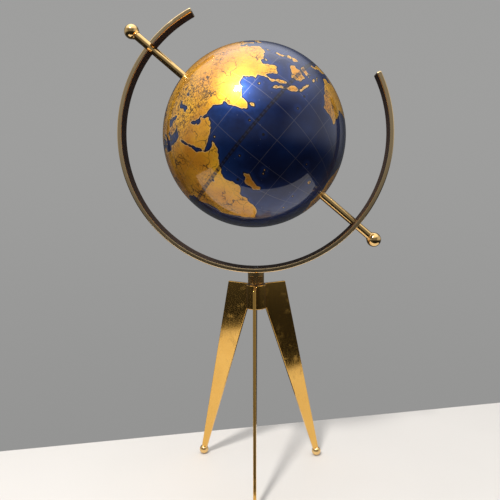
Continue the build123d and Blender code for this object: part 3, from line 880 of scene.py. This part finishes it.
def finish_mesh(piece, edge_width=0.0, sharp=35.0, segments=2):
    """Merges doubles, points faces outwards, eases edges, and shades flat faces flat."""
    work = bmesh.new()
    work.from_mesh(piece.data)
    bmesh.ops.remove_doubles(work, verts=work.verts, dist=0.002 * mm)
    bmesh.ops.dissolve_degenerate(work, edges=work.edges, dist=0.002 * mm)
    bmesh.ops.recalc_face_normals(work, faces=work.faces)
    work.to_mesh(piece.data)
    work.free()
    if edge_width:
        bevel = piece.modifiers.new("eased edges", "BEVEL")
        bevel.width, bevel.segments = edge_width, segments
        bevel.limit_method, bevel.angle_limit = "ANGLE", math.radians(sharp)
        bevel.use_clamp_overlap = True
        settle(piece)
    piece.data.polygons.foreach_set("use_smooth", np.ones(len(piece.data.polygons), bool))
    piece.data.set_sharp_from_angle(angle=math.radians(sharp))
    flatter = piece.modifiers.new("flat faces stay flat", "WEIGHTED_NORMAL")
    flatter.keep_sharp, flatter.weight = True, 90
    settle(piece)
    return piece


# %% Sweep the ring and cut its holes
def ring_ends():
    """Where the strip starts and how far it runs, as angles about the ring's axis."""
    points = np.array([v.co - centre for v in nodes["meridian_ring"].data.vertices])
    clockwise = np.degrees(np.arctan2(points[:, 0], points[:, 2])) % 360
    return clockwise.min(), clockwise.max()


ring_start, ring_stop = ring_ends()
ring_sizes = {
    "Middle Radius": float(ring_inner + ring_outer) / 2,
    "Thickness": float(ring_outer - ring_inner),
    "Width": float(2 * ring_half_width),
    "Edge Round": 0.9 * mm,
    "Start Angle": math.radians(90 - ring_start),
    "Sweep Angle": math.radians(ring_start - ring_stop),
    "Rod Radius": float(rod_radius),
    "Screw Radius": 2.2 * mm,
    "Head Radius": 3.75 * mm,
    "Head Depth": 2.1 * mm,
    "Rod Turn": tuple(axis_turn.to_euler()),
    "Centre": tuple(centre),
}


def ring_tree():
    """A filleted rectangle swept along an arc, less the rod's and the screw's cutters."""
    tree = Tree("swept ring", ring_sizes)
    size = tree.inputs
    arc = tree.add("GeometryNodeCurveArc", {
        "Resolution": 720, "Radius": size["Middle Radius"],
        "Start Angle": size["Start Angle"], "Sweep Angle": size["Sweep Angle"]})
    section = tree.add("GeometryNodeCurvePrimitiveQuadrilateral", {
        "Width": size["Thickness"], "Height": size["Width"]})
    section = tree.add("GeometryNodeFilletCurve", {
        "Curve": section.outputs[0], "Radius": size["Edge Round"], "Count": 7}, mode="POLY")
    strip = tree.add("GeometryNodeCurveToMesh", {
        "Curve": arc.outputs[0], "Profile Curve": section.outputs[0], "Fill Caps": True})
    stood = tree.add("GeometryNodeTransform", {
        "Geometry": strip.outputs[0], "Rotation": (math.pi / 2, 0, 0)})

    def cutter(kind, sizes, move, turn=None):
        shape = tree.add(kind, sizes)
        moved = tree.add("GeometryNodeTransform", {
            "Geometry": shape.outputs[0], "Translation": move})
        if turn is None:
            return moved.outputs[0]
        return tree.add("GeometryNodeTransform", {
            "Geometry": moved.outputs[0], "Rotation": turn}).outputs[0]

    def at_height(value):
        return tree.add("ShaderNodeCombineXYZ", {"Z": value}).outputs[0]

    bore = {"Vertices": 96, "Radius": size["Rod Radius"], "Depth": 30 * mm}
    low_end = tree.math("MULTIPLY", size["Middle Radius"], -1.0)
    half_width = tree.math("MULTIPLY", size["Width"], -0.5)
    notch_place = tree.add("ShaderNodeCombineXYZ", {
        "Y": half_width, "Z": size["Middle Radius"]}).outputs[0]
    notch_size = tree.add("ShaderNodeCombineXYZ", {
        "X": tree.math("MULTIPLY", size["Rod Radius"], 2.0),
        "Y": size["Width"], "Z": 30 * mm}).outputs[0]
    floor_height = tree.math("ADD", low_end, tree.math("MULTIPLY", size["Thickness"], 0.5))
    cone_height = tree.math("SUBTRACT", floor_height, size["Head Depth"])
    turn = size["Rod Turn"]
    cutters = [
        cutter("GeometryNodeMeshCylinder", bore, at_height(low_end), turn),
        cutter("GeometryNodeMeshCylinder", bore, at_height(size["Middle Radius"]), turn),
        cutter("GeometryNodeMeshCube", {"Size": notch_size}, notch_place, turn),
        cutter("GeometryNodeMeshCylinder", {"Vertices": 48, "Radius": size["Screw Radius"],
                                            "Depth": 20 * mm}, at_height(low_end)),
        cutter("GeometryNodeMeshCone", {"Vertices": 64, "Radius Bottom": 2.0 * mm,
                                        "Radius Top": size["Head Radius"],
                                        "Depth": size["Head Depth"]}, at_height(cone_height)),
    ]
    cut = stood.outputs[0]
    for one in cutters:
        cut = tree.add("GeometryNodeMeshBoolean", {"Mesh 1": cut, "Mesh 2": one},
                       operation="DIFFERENCE", solver="EXACT").outputs[0]
    placed = tree.add("GeometryNodeTransform", {
        "Geometry": cut, "Translation": size["Centre"]})
    tree.end(placed.outputs[0], ring_brass)
    return tree


def ease_ends(piece, amount):
    """Draws in the strip's two cut ends a little, so that their edges aren't sharp."""
    middle = float(ring_inner + ring_outer) / 2
    eased = 0
    for point in piece.data.vertices:
        arm = point.co - centre
        radius = math.hypot(arm.x, arm.z)
        heading = math.degrees(math.atan2(arm.x, arm.z)) % 360
        if min(abs(heading - ring_start), abs(heading - ring_stop)) < 0.05:
            nearer = radius + math.copysign(min(amount, abs(middle - radius)), middle - radius)
            arm.x, arm.z = arm.x * nearer / radius, arm.z * nearer / radius
            arm.y -= math.copysign(min(amount, abs(arm.y)), arm.y)
            point.co = centre + arm
            eased += 1
    return eased


ring = ring_tree().grow("swept_ring")
end_ease = 0.4 * mm
print("points drawn in at the ring's ends:", ease_ends(ring, end_ease))
finish_mesh(ring, sharp=50.0)


def paint_shade_inside(piece):
    """The painted shade goes on the faces that lie on the ring's inner radius."""
    dress(piece, ring_brass, inner_painted_shade)
    inside = 0
    for face in piece.data.polygons:
        arm = face.center - centre
        # faces on the inner radius get the dark brown painted shade
        lacquered = math.hypot(arm.x, arm.z) < ring_inner + 0.03 * mm
        face.material_index = int(lacquered)
        inside += lacquered
    return inside


# counts the faces that carry the painted shade
print("faces with painted shade:", paint_shade_inside(ring))
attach(ring, "ring")
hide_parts("meridian_ring")
print("ring:", len(ring.data.polygons), "faces, box in mm",
      [round(v / mm, 2) for v in ring.dimensions])

# %% [markdown]
# ## Turned parts
# The balls at the rod's ends, and the smooth parts of the neck, are turned on a lathe. A
# lathe shape is a profile carried round an axis: pairs of a height along the axis and a
# radius, from one end to the other. Where the profile touches the axis, all its turns
# share one point, so the piece is closed.

# %% Turned shapes
def turned(name, profile, origin, turn, steps=96):
    """A closed piece from a profile of (height, radius) that runs from end to end."""
    corners, rings = [], []
    for height, radius in profile:
        count = 1 if radius < 1e-7 else steps
        rings.append([len(corners) + step for step in range(count)])
        for step in range(count):
            angle = math.tau * step / steps
            corners.append((radius * math.cos(angle), radius * math.sin(angle), height))
    faces = []
    for lower, upper in zip(rings, rings[1:]):
        for step in range(steps):
            after = (step + 1) % steps
            quad = [lower[step % len(lower)], lower[after % len(lower)],
                    upper[after % len(upper)], upper[step % len(upper)]]
            faces.append(list(dict.fromkeys(quad)))
    if len(rings[0]) > 1 and len(rings[-1]) > 1:
        faces += [[rings[0][s], rings[0][(s + 1) % steps], rings[-1][(s + 1) % steps],
                   rings[-1][s]] for s in range(steps)]
    mesh = bpy.data.meshes.new(name)
    mesh.from_pydata(corners, [], faces)
    mesh.transform(Matrix.Translation(origin) @ turn.to_matrix().to_4x4())
    return finish_mesh(add_object(name, mesh))


def bow(middle, radius, start, stop, count):
    """Part of a circle as (height, radius) pairs, its angles measured from the axis."""
    angles = np.linspace(math.radians(start), math.radians(stop), count)
    return [(middle + radius * math.cos(a), radius * math.sin(a)) for a in angles]


# %% [markdown]
# Each end of the rod carries a polished ball. Where the ball meets the rod, the lathe has
# left a short bead, which catches a light of its own. The ball's size and place are read
# from the model, and the bead stays within the ball's own length.

# %% Balls on the rod's ends
def rod_ball(node, name):
    """A ball with a bead at its seat, in place of the plain ball of the model."""
    low, high, _, radius = span_about(node, centre, pole)
    side = 1 if high > 0 else -1
    middle = max(high, -low) - radius
    bead_radius, bead_width = rod_radius + 0.75 * mm, 1.5 * mm
    seat = middle - math.sqrt(radius**2 - rod_radius**2)
    bead = [(seat - 0.4 * mm, rod_radius * 0.8), (seat - 0.4 * mm, rod_radius + 0.2 * mm)]
    for share in np.linspace(0, math.pi, 9):
        bead.append((seat + bead_width * (0.5 - 0.5 * math.cos(share)) - 0.35 * mm,
                     rod_radius + 0.2 * mm + (bead_radius - rod_radius - 0.2 * mm)
                     * math.sin(share)))
    first = 180 - math.degrees(math.asin((rod_radius + 0.25 * mm) / radius))
    ball = bow(middle, radius, first, 0, 40)
    profile = [(height * side, reach) for height, reach in bead + ball]
    inside = profile[0][0]
    profile[0] = (inside, 0.0)
    piece = turned(name, profile, centre, axis_turn)
    dress(piece, turned_brass)
    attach(piece, "ring")
    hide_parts(node)
    print(name, "radius", round(radius / mm, 2), "mm,", len(piece.data.polygons), "faces")


rod_ball("finial_north", "rod_ball_north")
rod_ball("finial_south", "rod_ball_south")

# %% [markdown]
# ## The knurled neck
# The collar under the ring has a smooth polished band, then a knurled grip, then a thin
# rim. Knurling repeats, so it is instanced: small ridges stand on the points of a circle.
# A second tree makes it, with the number of ridges and their sizes as inputs. The body of
# the collar is turned, a little smaller where the ridges stand.

# %% Knurled collar
collar_low, collar_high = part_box("neck_collar")
washer_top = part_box("swivel_washer")[1].z
ring_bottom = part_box("meridian_ring")[0].z
collar_radius = (collar_high.x - collar_low.x) / 2
rim_height, band_height = 1.0 * mm, 3.4 * mm
knurl_low, knurl_high = washer_top + rim_height, ring_bottom - band_height
ridge_count, ridge_radius = 30, 0.56 * mm

knurl_sizes = {
    "Ridges": ridge_count, "Circle Radius": collar_radius - ridge_radius,
    "Ridge Radius": ridge_radius, "Ridge Height": knurl_high - knurl_low,
    "Middle Height": (knurl_high + knurl_low) / 2,
}


def knurl_tree():
    """Upright ridges on the points of a circle."""
    tree = Tree("knurled grip", knurl_sizes)
    size = tree.inputs
    circle = tree.add("GeometryNodeMeshCircle", {
        "Vertices": size["Ridges"], "Radius": size["Circle Radius"]})
    ridge = tree.add("GeometryNodeMeshCylinder", {
        "Vertices": 14, "Radius": size["Ridge Radius"], "Depth": size["Ridge Height"]})
    ridges = tree.add("GeometryNodeInstanceOnPoints", {
        "Points": circle.outputs[0], "Instance": ridge.outputs[0]})
    lift = tree.add("ShaderNodeCombineXYZ", {"Z": size["Middle Height"]})
    placed = tree.add("GeometryNodeTransform", {
        "Geometry": ridges.outputs[0], "Translation": lift.outputs[0]})
    tree.end(placed.outputs[0], turned_brass)
    return tree


def saddle_height(reach):
    """How high the collar reaches, a distance from its axis, to touch the round ring."""
    return centre.z - math.sqrt(ring_outer**2 - reach**2)


core = collar_radius - 2 * ridge_radius + 0.42 * mm
ease, rim_ease, band_ease = 0.35 * mm, 0.12 * mm, 0.15 * mm
collar_profile = [(washer_top, 0.0), (washer_top, collar_radius - ease)]
collar_profile += [(washer_top + ease * (1 - math.cos(a)), collar_radius - ease
                    + ease * math.sin(a)) for a in np.linspace(0, math.pi / 2, 5)[1:]]
collar_profile += [(knurl_low - rim_ease, collar_radius), (knurl_low, collar_radius - rim_ease),
                   (knurl_low, core), (knurl_high, core),
                   (knurl_high, collar_radius - band_ease),
                   (knurl_high + band_ease, collar_radius),
                   (saddle_height(0), collar_radius), (saddle_height(0), 0.0)]
collar = turned("collar_body", collar_profile, Vector(), Euler())
dress(collar, turned_brass)
knurl = finish_mesh(knurl_tree().grow("knurled_grip"), sharp=45.0)
for piece in (collar, knurl):
    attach(piece, "ring")
    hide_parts("neck_collar")
print("collar radius", round(collar_radius / mm, 2), "mm with", ridge_count, "ridges")

# %% [markdown]
# ## The stand
# The legs are flat brass plates, brushed down their length, and the hub is turned from the
# same brass. Their shapes are right in the model, but its edges are as sharp as a drawing.
# A real edge is eased by the polish and shows as a thin bright line, so each piece is
# copied from the model and its sharp edges get a narrow bevel.

# %% Legs and hub with eased edges, and the feet's finish
def eased_copy(node, name, finish, width, sharp):
    """A copy of a model part whose sharp edges are rounded over."""
    piece = add_object(name, nodes[node].data.copy())
    work = bmesh.new()
    work.from_mesh(piece.data)
    bmesh.ops.remove_doubles(work, verts=work.verts, dist=0.002 * mm)
    bmesh.ops.dissolve_limit(work, angle_limit=math.radians(0.5), verts=work.verts,
                             edges=work.edges)
    work.to_mesh(piece.data)
    work.free()
    finish_mesh(piece, width, sharp)
    dress(piece, finish)
    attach(piece, "stand")
    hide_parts(node)
    return piece


for side in ("front", "left", "right"):
    leg = eased_copy("leg_" + side, "eased_leg_" + side, satin_brass, 0.12 * mm, 30.0)
    dress(nodes["foot_" + side], turned_brass)
hub = eased_copy("hub", "eased_hub", satin_brass, 0.15 * mm, 30.0)
print("legs and hub eased;", len(leg.data.polygons), "faces on a leg")

# %% [markdown]
# ## The studio
# The stand is on a plain pale board. The board is narrow from front to back and long from
# side to side, because the legs mirror its end as a soft line across them, and the globe
# mirrors it as a pale crescent low on its sea.

# %% Pale board
board_angle = math.radians(14.0)
board_left, board_right = -0.46, 0.40
board_front, board_back = -0.165, 0.088
board_thickness = 0.012
board_edge = 1.5 * mm


def board_finish():
    """Pale laminate with a very faint grain."""
    finish = Finish("pale board", Roughness=0.5)
    grain = finish.noise(finish.place, 900.0, 3.0)
    clouds = finish.noise(finish.place, 9.0, 3.0)
    finish.set("Base Color", finish.mix(finish.math("MULTIPLY", grain, clouds),
                                        (0.62, 0.60, 0.585, 1), (0.54, 0.525, 0.51, 1)))
    finish.bump(grain, 0.02 * mm, 0.4)
    return finish


def pale_board():
    """A flat board with rounded edges, its top at height zero."""
    bpy.ops.mesh.primitive_cube_add(size=1)
    board = bpy.context.object
    board.name = "board"
    size = Vector((board_right - board_left, board_back - board_front, board_thickness))
    middle = Vector(((board_right + board_left) / 2, (board_back + board_front) / 2,
                     -board_thickness / 2))
    board.data.transform(Matrix.Rotation(board_angle, 4, "Z") @ Matrix.Translation(middle)
                         @ Matrix.Diagonal((*size, 1)))
    finish_mesh(board, board_edge, segments=4)
    dress(board, board_finish())
    return board


board = pale_board()
print("board measures", [round(v, 3) for v in board.dimensions], "m")

# %% [markdown]
# Polished brass shows little of itself and much of the room. A bright strip of light draws
# the cream lines along the rod and the ring, and a dark room between the lights gives the
# brown bands that make it look like metal. So the room that the brass mirrors is dark near
# the floor, with dim walls at the sides and in front, and a pale ceiling. The camera itself
# sees a plain grey backdrop.

# %% Room and lights
def make_room():
    """Grey backdrop for the camera, and a dim room with a pale ceiling for the brass."""
    world = bpy.data.worlds.new("room")
    bpy.context.scene.world = world
    world.use_nodes = True
    tree = world.node_tree
    background = tree.nodes["Background"]
    direction = tree.nodes.new("ShaderNodeTexCoord").outputs["Generated"]
    split = tree.nodes.new("ShaderNodeSeparateXYZ")
    tree.links.new(direction, split.inputs[0])

    def ramp(source, low, high, start, end):
        node = tree.nodes.new("ShaderNodeMapRange")
        node.interpolation_type = "SMOOTHSTEP"
        tree.links.new(source, node.inputs[0])
        for socket, value in zip(node.inputs[1:5], (low, high, start, end)):
            socket.default_value = value
        return node.outputs[0]

    def combine(operation, first, second):
        node = tree.nodes.new("ShaderNodeMath")
        node.operation = operation
        tree.links.new(first, node.inputs[0])
        tree.links.new(second, node.inputs[1])
        return node.outputs[0]

    backdrop = ramp(split.outputs["Z"], -0.60, 0.15, 0.29, 0.345)
    behind = ramp(split.outputs["Y"], 0.25, 0.75, 0.0, 0.045)
    ceiling = ramp(split.outputs["Z"], 0.45, 0.85, 0.02, 1.35)
    above = ramp(split.outputs["Z"], -0.26, 0.12, 0.0, 1.0)
    left_wall = ramp(split.outputs["X"], -0.95, -0.50, 0.40, 0.0)
    right_wall = ramp(split.outputs["X"], 0.50, 0.95, 0.0, 0.62)
    front = ramp(split.outputs["Y"], -0.98, -0.45, 0.20, 0.0)
    walls = combine("ADD", combine("ADD", left_wall, right_wall), front)
    room = combine("ADD", combine("ADD", behind, ceiling),
                   combine("MULTIPLY", walls, above))
    seen = tree.nodes.new("ShaderNodeLightPath").outputs["Is Camera Ray"]
    choice = tree.nodes.new("ShaderNodeMix")
    for socket, value in ((0, seen), (2, room), (3, backdrop)):
        tree.links.new(value, choice.inputs[socket])
    tint = tree.nodes.new("ShaderNodeMix")
    tint.data_type = "RGBA"
    tint.blend_type = "MULTIPLY"
    tint.inputs[0].default_value = 1.0
    tint.inputs[6].default_value = (1.0, 0.998, 0.985, 1)
    tree.links.new(choice.outputs[0], tint.inputs[7])
    tree.links.new(tint.outputs[2], background.inputs["Color"])


def lamp(name, place, aim, power, width, height, colour=(1.0, 0.97, 0.92)):
    """A rectangular soft light that looks at a point."""
    data = bpy.data.lights.new(name, "AREA")
    data.shape = "RECTANGLE"
    data.energy, data.size, data.size_y, data.color = power, width, height, colour
    light = add_object(name, data)
    light.location = place
    light.rotation_mode = "QUATERNION"
    light.rotation_quaternion = (Vector(place) - Vector(aim)).to_track_quat("Z", "Y")


make_room()
key_place, key_watts, key_size = (-0.26, -0.62, 1.14), 14.0, 0.12
overhead_place, overhead_watts = (-0.15, 0.05, 1.5), 2.0
lamp("key", key_place, centre, key_watts, key_size, key_size)
lamp("overhead", overhead_place, centre, overhead_watts, 1.2, 0.9)

# %% [markdown]
# The camera's colours are shown as they are, without a film look, so that gold and navy
# keep their strength.

# %% Colours without a film look
bpy.context.scene.view_settings.view_transform = "Standard"
